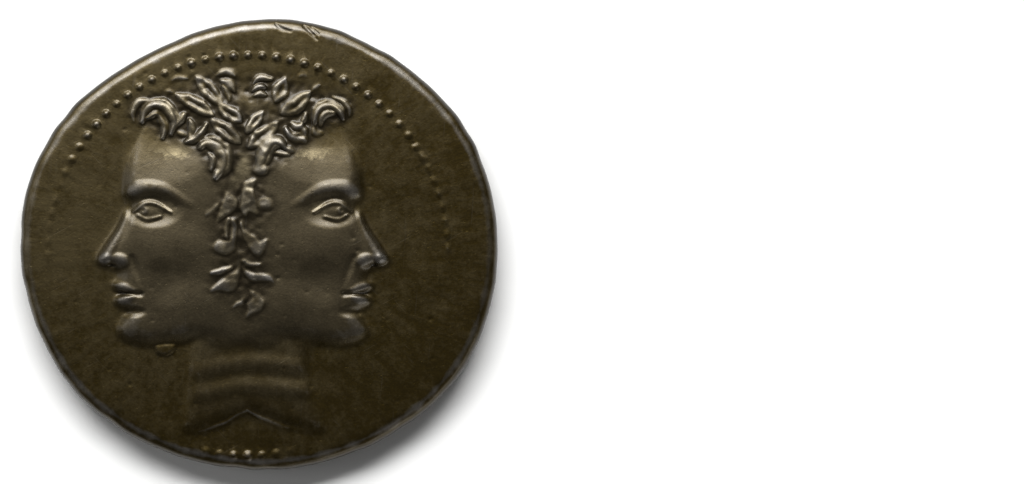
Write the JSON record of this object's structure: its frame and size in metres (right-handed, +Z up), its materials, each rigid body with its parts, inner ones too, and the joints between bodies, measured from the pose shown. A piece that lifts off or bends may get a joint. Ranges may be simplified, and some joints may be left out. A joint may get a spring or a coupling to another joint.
{
  "type": "quadrigatus coin",
  "caption": "Thick hand-struck silver disc of uneven outline, with heads back to back in relief on one side and a galloping chariot team on the dished other side; used as money.",
  "frame": {"origin": "under the middle of the coin's outline, on the surface it lies on", "axes": "+Z up out of the obverse, +Y towards the top of the heads, +X to the right of the obverse"},
  "size_m": [0.0232, 0.0218, 0.0027],
  "materials": {
    "toned_silver": "dark toned silver, satin, brighter on worn high points"
  },
  "bodies": {
    "root": {"coin": "toned_silver"}
  },
  "joints": []
}
